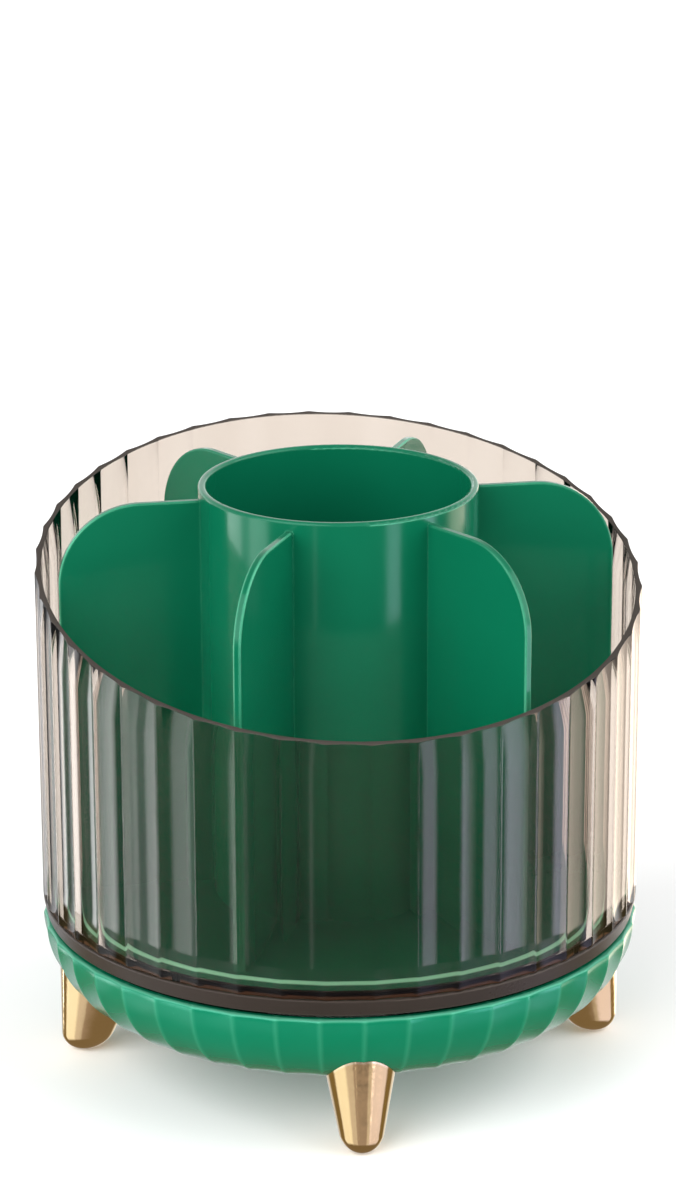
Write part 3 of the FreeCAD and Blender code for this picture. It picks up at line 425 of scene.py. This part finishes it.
def shell_mesh(material):
    """Depth and hollow are a flute's depth and radius, ridge_lean its slope beside a ridge."""
    inner, low, floor_up = 73.3, 43.24, 44.7
    depth, hollow, ridge_round, ridge_lean = 0.6, 32.54, 0.6, math.radians(13.2)
    low_round, rim_round, floor_round = 0.4, 0.22, 0.9
    floor_rings = (25.0, 50.0)
    wall_rows = 8
    steps = [0.14, 0.28, 0.42, 0.55, 0.67, 0.78, 0.86, 0.92, 0.955, 0.975, 0.99, 1.0]
    angles, local = flute_angles(steps, 0.0)
    centre = CREST - depth + hollow
    outer = centre * np.cos(local) - np.sqrt(hollow ** 2 - (centre * np.sin(local)) ** 2)
    outer = np.minimum(outer, CREST)
    outer = rounded_crest(outer, local, CREST, ridge_lean, ridge_round)
    shares = np.linspace(0, 1, wall_rows + 1)[1:]
    rings = []

    def ring(radius, z):
        rings.append(points_on(radius, z, angles))

    for r in floor_rings:
        ring(r, low)
    for degrees in (0.0, 30.0, 60.0, 90.0):
        up, back = quarter_turn(degrees, low_round)
        ring(outer - back, low + up)
    top = rim_height(outer, angles) - rim_round
    for t in shares:
        ring(outer, low + low_round + (top - low - low_round) * t)
    for degrees in (22.5, 45.0, 67.5, 90.0):
        back, down = quarter_turn(degrees, rim_round)
        ring(outer - back, rim_height(outer - back, angles) - down)
    for degrees in (90.0, 67.5, 45.0, 22.5, 0.0):
        back, down = quarter_turn(degrees, rim_round)
        ring(inner + back, rim_height(inner + back, angles) - down)
    top = rim_height(inner, angles) - rim_round
    for t in shares:
        ring(inner, top + (floor_up + floor_round - top) * t)
    for degrees in (30.0, 60.0, 90.0):
        back, up = quarter_turn(degrees, floor_round)
        ring(inner - back, floor_up + up)
    for r in reversed(floor_rings):
        ring(r, floor_up)
    columns = len(angles)
    verts = [tuple(p) for r in rings for p in r]
    faces = skin_faces(len(rings), columns, 0)
    close_fan(verts, faces, 0, columns, low, True)
    close_fan(verts, faces, (len(rings) - 1) * columns, columns, floor_up, False)
    return piece("shell_clear", verts, faces, material, 40.0)


def lug_mesh(material):
    """The four hollow screw bosses under the shell."""
    columns, low, up = 40, 40.7, 43.22
    lug_circle, bore, outside, chamfer = 65.0, 1.51, 3.5, 0.3
    profile = ((bore, low), (outside - chamfer, low), (outside, low + chamfer), (outside, up),
               (bore, up))
    verts = []
    faces = []
    turns = np.arange(columns) * 2 * math.pi / columns
    for quarter in range(4):
        middle = math.radians(45.0 + 90.0 * quarter)
        first = len(verts)
        for r, z in profile:
            for p in points_on(r, z, turns):
                verts.append((p[0] + lug_circle * math.cos(middle),
                              p[1] + lug_circle * math.sin(middle), z))
        faces += skin_faces(len(profile), columns, first, True)
    return piece("shell_lugs", verts, faces, material, 30.0)


# The fluted base bowl, hollow, with its seat ribs and centre boss.

BASE_LOW = 18.7
BASE_UP = 38.0
# In section the side of the base is an arc, centred this far from the axis.
BASE_ARC_CENTRE = 52.568


def base_radius(local, z):
    """Radius of the fluted wall at this height. Its flutes are a hollow swung along the arc."""
    depth, hollow, first_guess, rounds = 0.45, 55.42, 70.0, 30
    radius = np.full(local.shape, first_guess)
    for _ in range(rounds):
        y = radius * np.sin(local)
        swing = CREST - depth + hollow - np.sqrt(hollow ** 2 - y ** 2) - BASE_ARC_CENTRE
        x = BASE_ARC_CENTRE + np.sqrt(np.maximum(swing ** 2 - (BASE_UP - z) ** 2, 0.0))
        radius = x / np.cos(local)
    return radius


def base_inside():
    """Radius and height of each point of the profile of underside, boss, ribs and hollow."""
    floor_up, rib_up = 21.3, 31.0
    bolt, recess, recess_up, chamfer = 3.06, 9.2, 22.3, 0.4
    boss, boss_up, collar, collar_up = 9.0, 34.9, 12.2, 24.9
    inner_rib, outer_rib = (40.5, 42.6), (53.1, 55.2)
    arc_radius = 19.632
    profile = [(40.0, BASE_LOW), (20.0, BASE_LOW), (recess + chamfer, BASE_LOW),
               (recess, BASE_LOW + chamfer), (recess, recess_up), (bolt, recess_up),
               (bolt, boss_up), (boss, boss_up), (boss, collar_up), (collar, collar_up),
               (collar, floor_up)]
    for inside, outside in (inner_rib, outer_rib):
        profile += [(inside, floor_up), (inside, rib_up), (outside, rib_up), (outside, floor_up)]
    profile.append((62.8, floor_up))
    arc_end, arc_start, arc_points = 2.0, 58.3, 9
    for degrees in np.linspace(arc_start, arc_end, arc_points):
        a = math.radians(degrees)
        profile.append((BASE_ARC_CENTRE + arc_radius * math.cos(a),
                        BASE_UP - arc_radius * math.sin(a)))
    return profile + [(72.35, BASE_UP - 0.2), (72.6, BASE_UP)]


def base_mesh(material):
    edge, ridge_round, ridge_lean = 0.7, 1.8, math.radians(9.63)
    # The rings of the wall lie closer together toward the underside.
    wall_rings, crowding = 25, 1.4
    steps = [0.25, 0.5, 0.7, 0.84, 0.91, 0.945, 0.965, 0.983, 1.0]
    angles, local = flute_angles(steps, 0.5)
    turned = angles + BASE_TURN
    rings = []

    def ring(radius, z):
        rings.append(points_on(radius, z, turned))

    def wall(z):
        radius = base_radius(local, z)
        crest = base_radius(np.array([PITCH / 2]), z)[0]
        return rounded_crest(radius, local, crest, ridge_lean, ridge_round)

    for degrees in (90.0, 67.5, 45.0, 22.5):
        back, down = quarter_turn(degrees, edge)
        ring(wall(BASE_UP - edge) - back, BASE_UP - down)
    for t in np.linspace(0, 1, wall_rings):
        z = BASE_UP - edge - (BASE_UP - edge - BASE_LOW) * (1 - (1 - t) ** crowding)
        ring(wall(z), z)
    ring(wall(BASE_LOW) - 1.0, BASE_LOW)
    for r, z in base_inside():
        ring(r, z)
    verts = np.concatenate(rings)
    faces = skin_faces(len(rings), len(angles), 0, True)
    return piece("base_fluted", verts, [tuple(reversed(f)) for f in faces], material, 32.0)


# Finishes

# Each plastic gets a painted highlight on its edges. The base also gets a painted highlight line
# along its top edge and painted highlights on its ridges; the tray gets a painted highlight line
# around its floor's edge.
green = moulded_plastic("green_gloss", srgb(4, 100, 69), srgb(5, 106, 75), srgb(105, 205, 165),
                        0.2, 0.0, (0.3, 1.0, 0.8, 1.0),
                        highlight_line=(73.5 * MM, 37.5 * MM, 0.14), ridge_highlight_from=BASE_TURN)
green_tray = moulded_plastic("green_tray_gloss", srgb(5, 88, 61), srgb(7, 94, 66),
                             srgb(112, 212, 172), 0.16, 0.06, (0.22, 0.40, 0.34, 1.0),
                             highlight_strength=(0.6, 1.0), highlight_line=(70.9 * MM, 46.0 * MM, 0.7))
dark = moulded_plastic("dark_gloss", srgb(43, 37, 33), srgb(48, 41, 37), srgb(92, 82, 75),
                       0.3, 0.0, (0.2, 0.2, 0.2, 1.0))
gold = plated_gold("gold_plate")
clear = smoked_clear("smoked_clear")
white = moulded_plastic("race_white", srgb(214, 214, 208), srgb(228, 228, 222),
                        srgb(240, 240, 236), 0.42, 0.0)
black = moulded_plastic("cage_black", srgb(30, 30, 32), srgb(42, 42, 44), srgb(90, 90, 92),
                        0.45, 0.0)
steel = plain_metal("zinc_steel", srgb(150, 152, 156), srgb(190, 192, 196), 0.28)
polished = plain_metal("ball_steel", srgb(196, 198, 202), srgb(214, 216, 220), 0.08)

looks = (
    (green, ("base_bowl",)),
    (green_tray, ("divider_tray",)),
    (dark, ("turntable_plate",)),
    (gold, ("foot_front", "foot_right", "foot_back", "foot_left")),
    (white, ("lower_race", "upper_race", "slip_washer")),
    (black, ("ball_cage",)),
    (polished, ("bearing_balls",)),
    (steel, ("foot_screws", "lower_race_screws", "upper_race_screws", "shell_screws",
             "pivot_bolt", "pivot_washer", "pivot_nut")),
    (clear, ("shell",)),
)
for material, nodes in looks:
    for node in nodes:
        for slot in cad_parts[node].material_slots:
            slot.material = material

shell = shell_mesh(clear)
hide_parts("shell")
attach(shell, "turntable")

lugs = lug_mesh(clear)
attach(lugs, "turntable")

base = base_mesh(green)
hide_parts("base_bowl")
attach(base, "base")


# Floor, light and camera, in metres

def pale_floor():
    mat, tree, out = new_material("pale_floor")
    shader = principled(tree, Roughness=0.6, Specular_IOR_Level=0.2)
    cloud = noise(tree, coords(tree), 3.0, 3.0, -1000, 300)
    tone = blend_colours(tree, cloud, (0.88, 0.88, 0.88, 1), (0.90, 0.90, 0.90, 1), -600, 300)
    tree.links.new(tone, shader.inputs["Base Color"])
    tree.links.new(shader.outputs[0], out.inputs["Surface"])
    size = 20.0
    corners = [(-size, -size, 0), (size, -size, 0), (size, size, 0), (-size, size, 0)]
    mesh = bpy.data.meshes.new("floor")
    mesh.from_pydata(corners, [], [(0, 1, 2, 3)])
    mesh.materials.append(mat)
    obj = bpy.data.objects.new("floor", mesh)
    bpy.context.scene.collection.objects.link(obj)
    # Glossy surfaces reflect the studio below instead, which is darker than the floor.
    obj.visible_glossy = False


def soft_sun(name, place, power):
    """A wide sun that shines from this place to the origin."""
    lamp = bpy.data.lights.new(name, "SUN")
    lamp.energy = power
    lamp.angle = math.radians(60.0)
    obj = bpy.data.objects.new(name, lamp)
    bpy.context.scene.collection.objects.link(obj)
    obj.location = place
    obj.rotation_euler = (-Vector(place)).to_track_quat("-Z", "Y").to_euler()
    obj.visible_camera = False


def screen_row(tree, share, stops):
    """Colours around the horizon. Each stop is an angle in degrees and the colour there."""
    node = tree.nodes.new("ShaderNodeValToRGB")
    ramp = node.color_ramp
    ramp.elements[0].position = 0.0
    ramp.elements[1].position = 1.0
    for degrees, colour in stops[1:-1]:
        ramp.elements.new((degrees + 180.0) / 360.0)
    for element, (degrees, colour) in zip(ramp.elements, stops):
        element.color = colour + (1.0,)
    tree.links.new(share, node.inputs["Fac"])
    return node.outputs["Color"]


def upper_screens(tree, share):
    """The row that upright walls see."""
    dim, soft = (0.15, 0.15, 0.15), (1.8, 1.8, 1.85)
    strip, thin = (4.0, 4.0, 4.0), (1.8, 1.8, 1.8)
    left, right = (6.0, 6.0, 6.0), (6.2, 5.7, 7.2)
    behind_left, behind_right = (0.8, 0.8, 0.82), (3.5, 2.9, 2.4)
    return screen_row(tree, share, [
        (-180.0, behind_left), (-146.0, behind_left), (-140.0, dim),
        (-134.0, dim), (-131.0, strip), (-126.0, strip), (-123.0, dim),
        (-108.0, dim), (-101.0, left), (-88.0, left),
        (-85.0, soft), (-79.0, soft), (-76.0, left), (-62.0, left), (-57.0, dim),
        (-21.5, dim), (-20.0, thin), (-18.0, thin), (-16.5, dim),
        (38.0, dim), (42.0, right), (50.0, right), (53.0, dim),
        (58.0, dim), (62.0, soft), (70.0, right), (82.0, right), (88.0, dim),
        (98.0, dim), (106.0, behind_right), (172.0, behind_right), (180.0, behind_left)])


def lower_screens(tree, share):
    """The row that faces see which lean outward."""
    left, right = (1.35, 1.35, 1.35), (1.12, 1.04, 1.35)
    behind_left, behind_right = (0.8, 0.8, 0.82), (1.0, 0.98, 0.95)
    gap, middle, step = (0.27, 0.20, 0.09), (0.50, 0.42, 0.42), (0.85, 0.80, 0.82)
    return screen_row(tree, share, [
        (-180.0, behind_left), (-145.0, behind_left), (-134.0, gap), (-108.0, gap),
        (-100.0, left), (-58.0, left), (-50.0, step), (-29.0, step),
        (-24.0, middle), (24.0, middle), (29.0, step), (38.0, step),
        (46.0, right), (100.0, right), (108.0, gap), (134.0, gap),
        (145.0, behind_right), (172.0, behind_right), (180.0, behind_left)])


def studio_light():
    """A soft pale sky. Below the horizon, which only reflections see, are two rows of screens."""
    world = bpy.data.worlds.new("studio")
    bpy.context.scene.world = world
    world.use_nodes = True
    tree = world.node_tree
    tree.nodes.clear()
    out = tree.nodes.new("ShaderNodeOutputWorld")
    air = add(tree, "ShaderNodeBackground", 0, 0, Strength=1.0)
    tree.links.new(air.outputs[0], out.inputs["Surface"])
    where = tree.nodes.new("ShaderNodeTexCoord")
    turned = add(tree, "ShaderNodeVectorRotate", 0, 0, Angle=math.radians(10.0))
    turned.rotation_type = "Z_AXIS"
    tree.links.new(where.outputs["Generated"], turned.inputs["Vector"])
    parts = split(tree, turned.outputs[0], 0, 0)
    up = parts["Z"]
    front = product(tree, parts["Y"], -1.0, 0, 0)
    # The angle around the horizon is 0 in front and grows to the right.
    angle = calculate(tree, "ARCTAN2", parts["X"], front, 0, 0)
    share = spread(tree, angle, -math.pi, math.pi, 0.0, 1.0, 0, 0)
    ground = (0.26, 0.20, 0.13, 1.0)
    below = blend_colours(tree, spread(tree, up, -0.74, -0.60, 0.0, 1.0, 0, 0),
                          ground, lower_screens(tree, share), 0, 0)
    screens = blend_colours(tree, spread(tree, up, -0.423, -0.411, 0.0, 1.0, 0, 0),
                            below, upper_screens(tree, share), 0, 0)
    sky = spread(tree, up, 0.0, 0.7, 1.7, 0.56, 0, 0)
    both = blend_colours(tree, spread(tree, up, -0.10, -0.05, 0.0, 1.0, 0, 0),
                         screens, sky, 0, 0)
    tree.links.new(both, air.inputs["Color"])


def photo_camera():
    """The camera at the photograph's viewing angle."""
    camera = bpy.data.cameras.new("camera")
    camera.sensor_fit = "VERTICAL"
    camera.sensor_height = 36.0
    camera.lens = 120.35
    camera.clip_start = 0.05
    camera.clip_end = 30.0
    eye = bpy.data.objects.new("camera", camera)
    bpy.context.scene.collection.objects.link(eye)
    place = (-0.163855, -0.929293, 0.430023)
    down, yaw, roll = math.radians(18.2874), math.radians(9.9899), math.radians(-0.2)
    ahead = Vector((math.sin(yaw) * math.cos(down), math.cos(yaw) * math.cos(down),
                    -math.sin(down)))
    side = Vector((math.cos(yaw), -math.sin(yaw), 0.0))
    above = side.cross(ahead)
    right = side * math.cos(roll) + above * math.sin(roll)
    upward = above * math.cos(roll) - side * math.sin(roll)
    turn = Matrix((right, upward, -ahead)).transposed().to_4x4()
    eye.matrix_world = Matrix.Translation(place) @ turn
    bpy.context.scene.camera = eye


def colour_and_bounces():
    view = bpy.context.scene.view_settings
    view.view_transform = "Standard"
    view.look = "None"
    view.exposure = 0.0
    cycles = bpy.context.scene.cycles
    cycles.max_bounces = 16
    cycles.transmission_bounces = 14
    cycles.transparent_max_bounces = 16
    cycles.glossy_bounces = 6
    cycles.diffuse_bounces = 4


pale_floor()
studio_light()
soft_sun("soft_left", (-1.2, -0.9, 0.9), 3.2)
soft_sun("soft_right", (1.3, -0.6, 0.9), 2.15)
photo_camera()
colour_and_bounces()

bpy.context.view_layer.update()
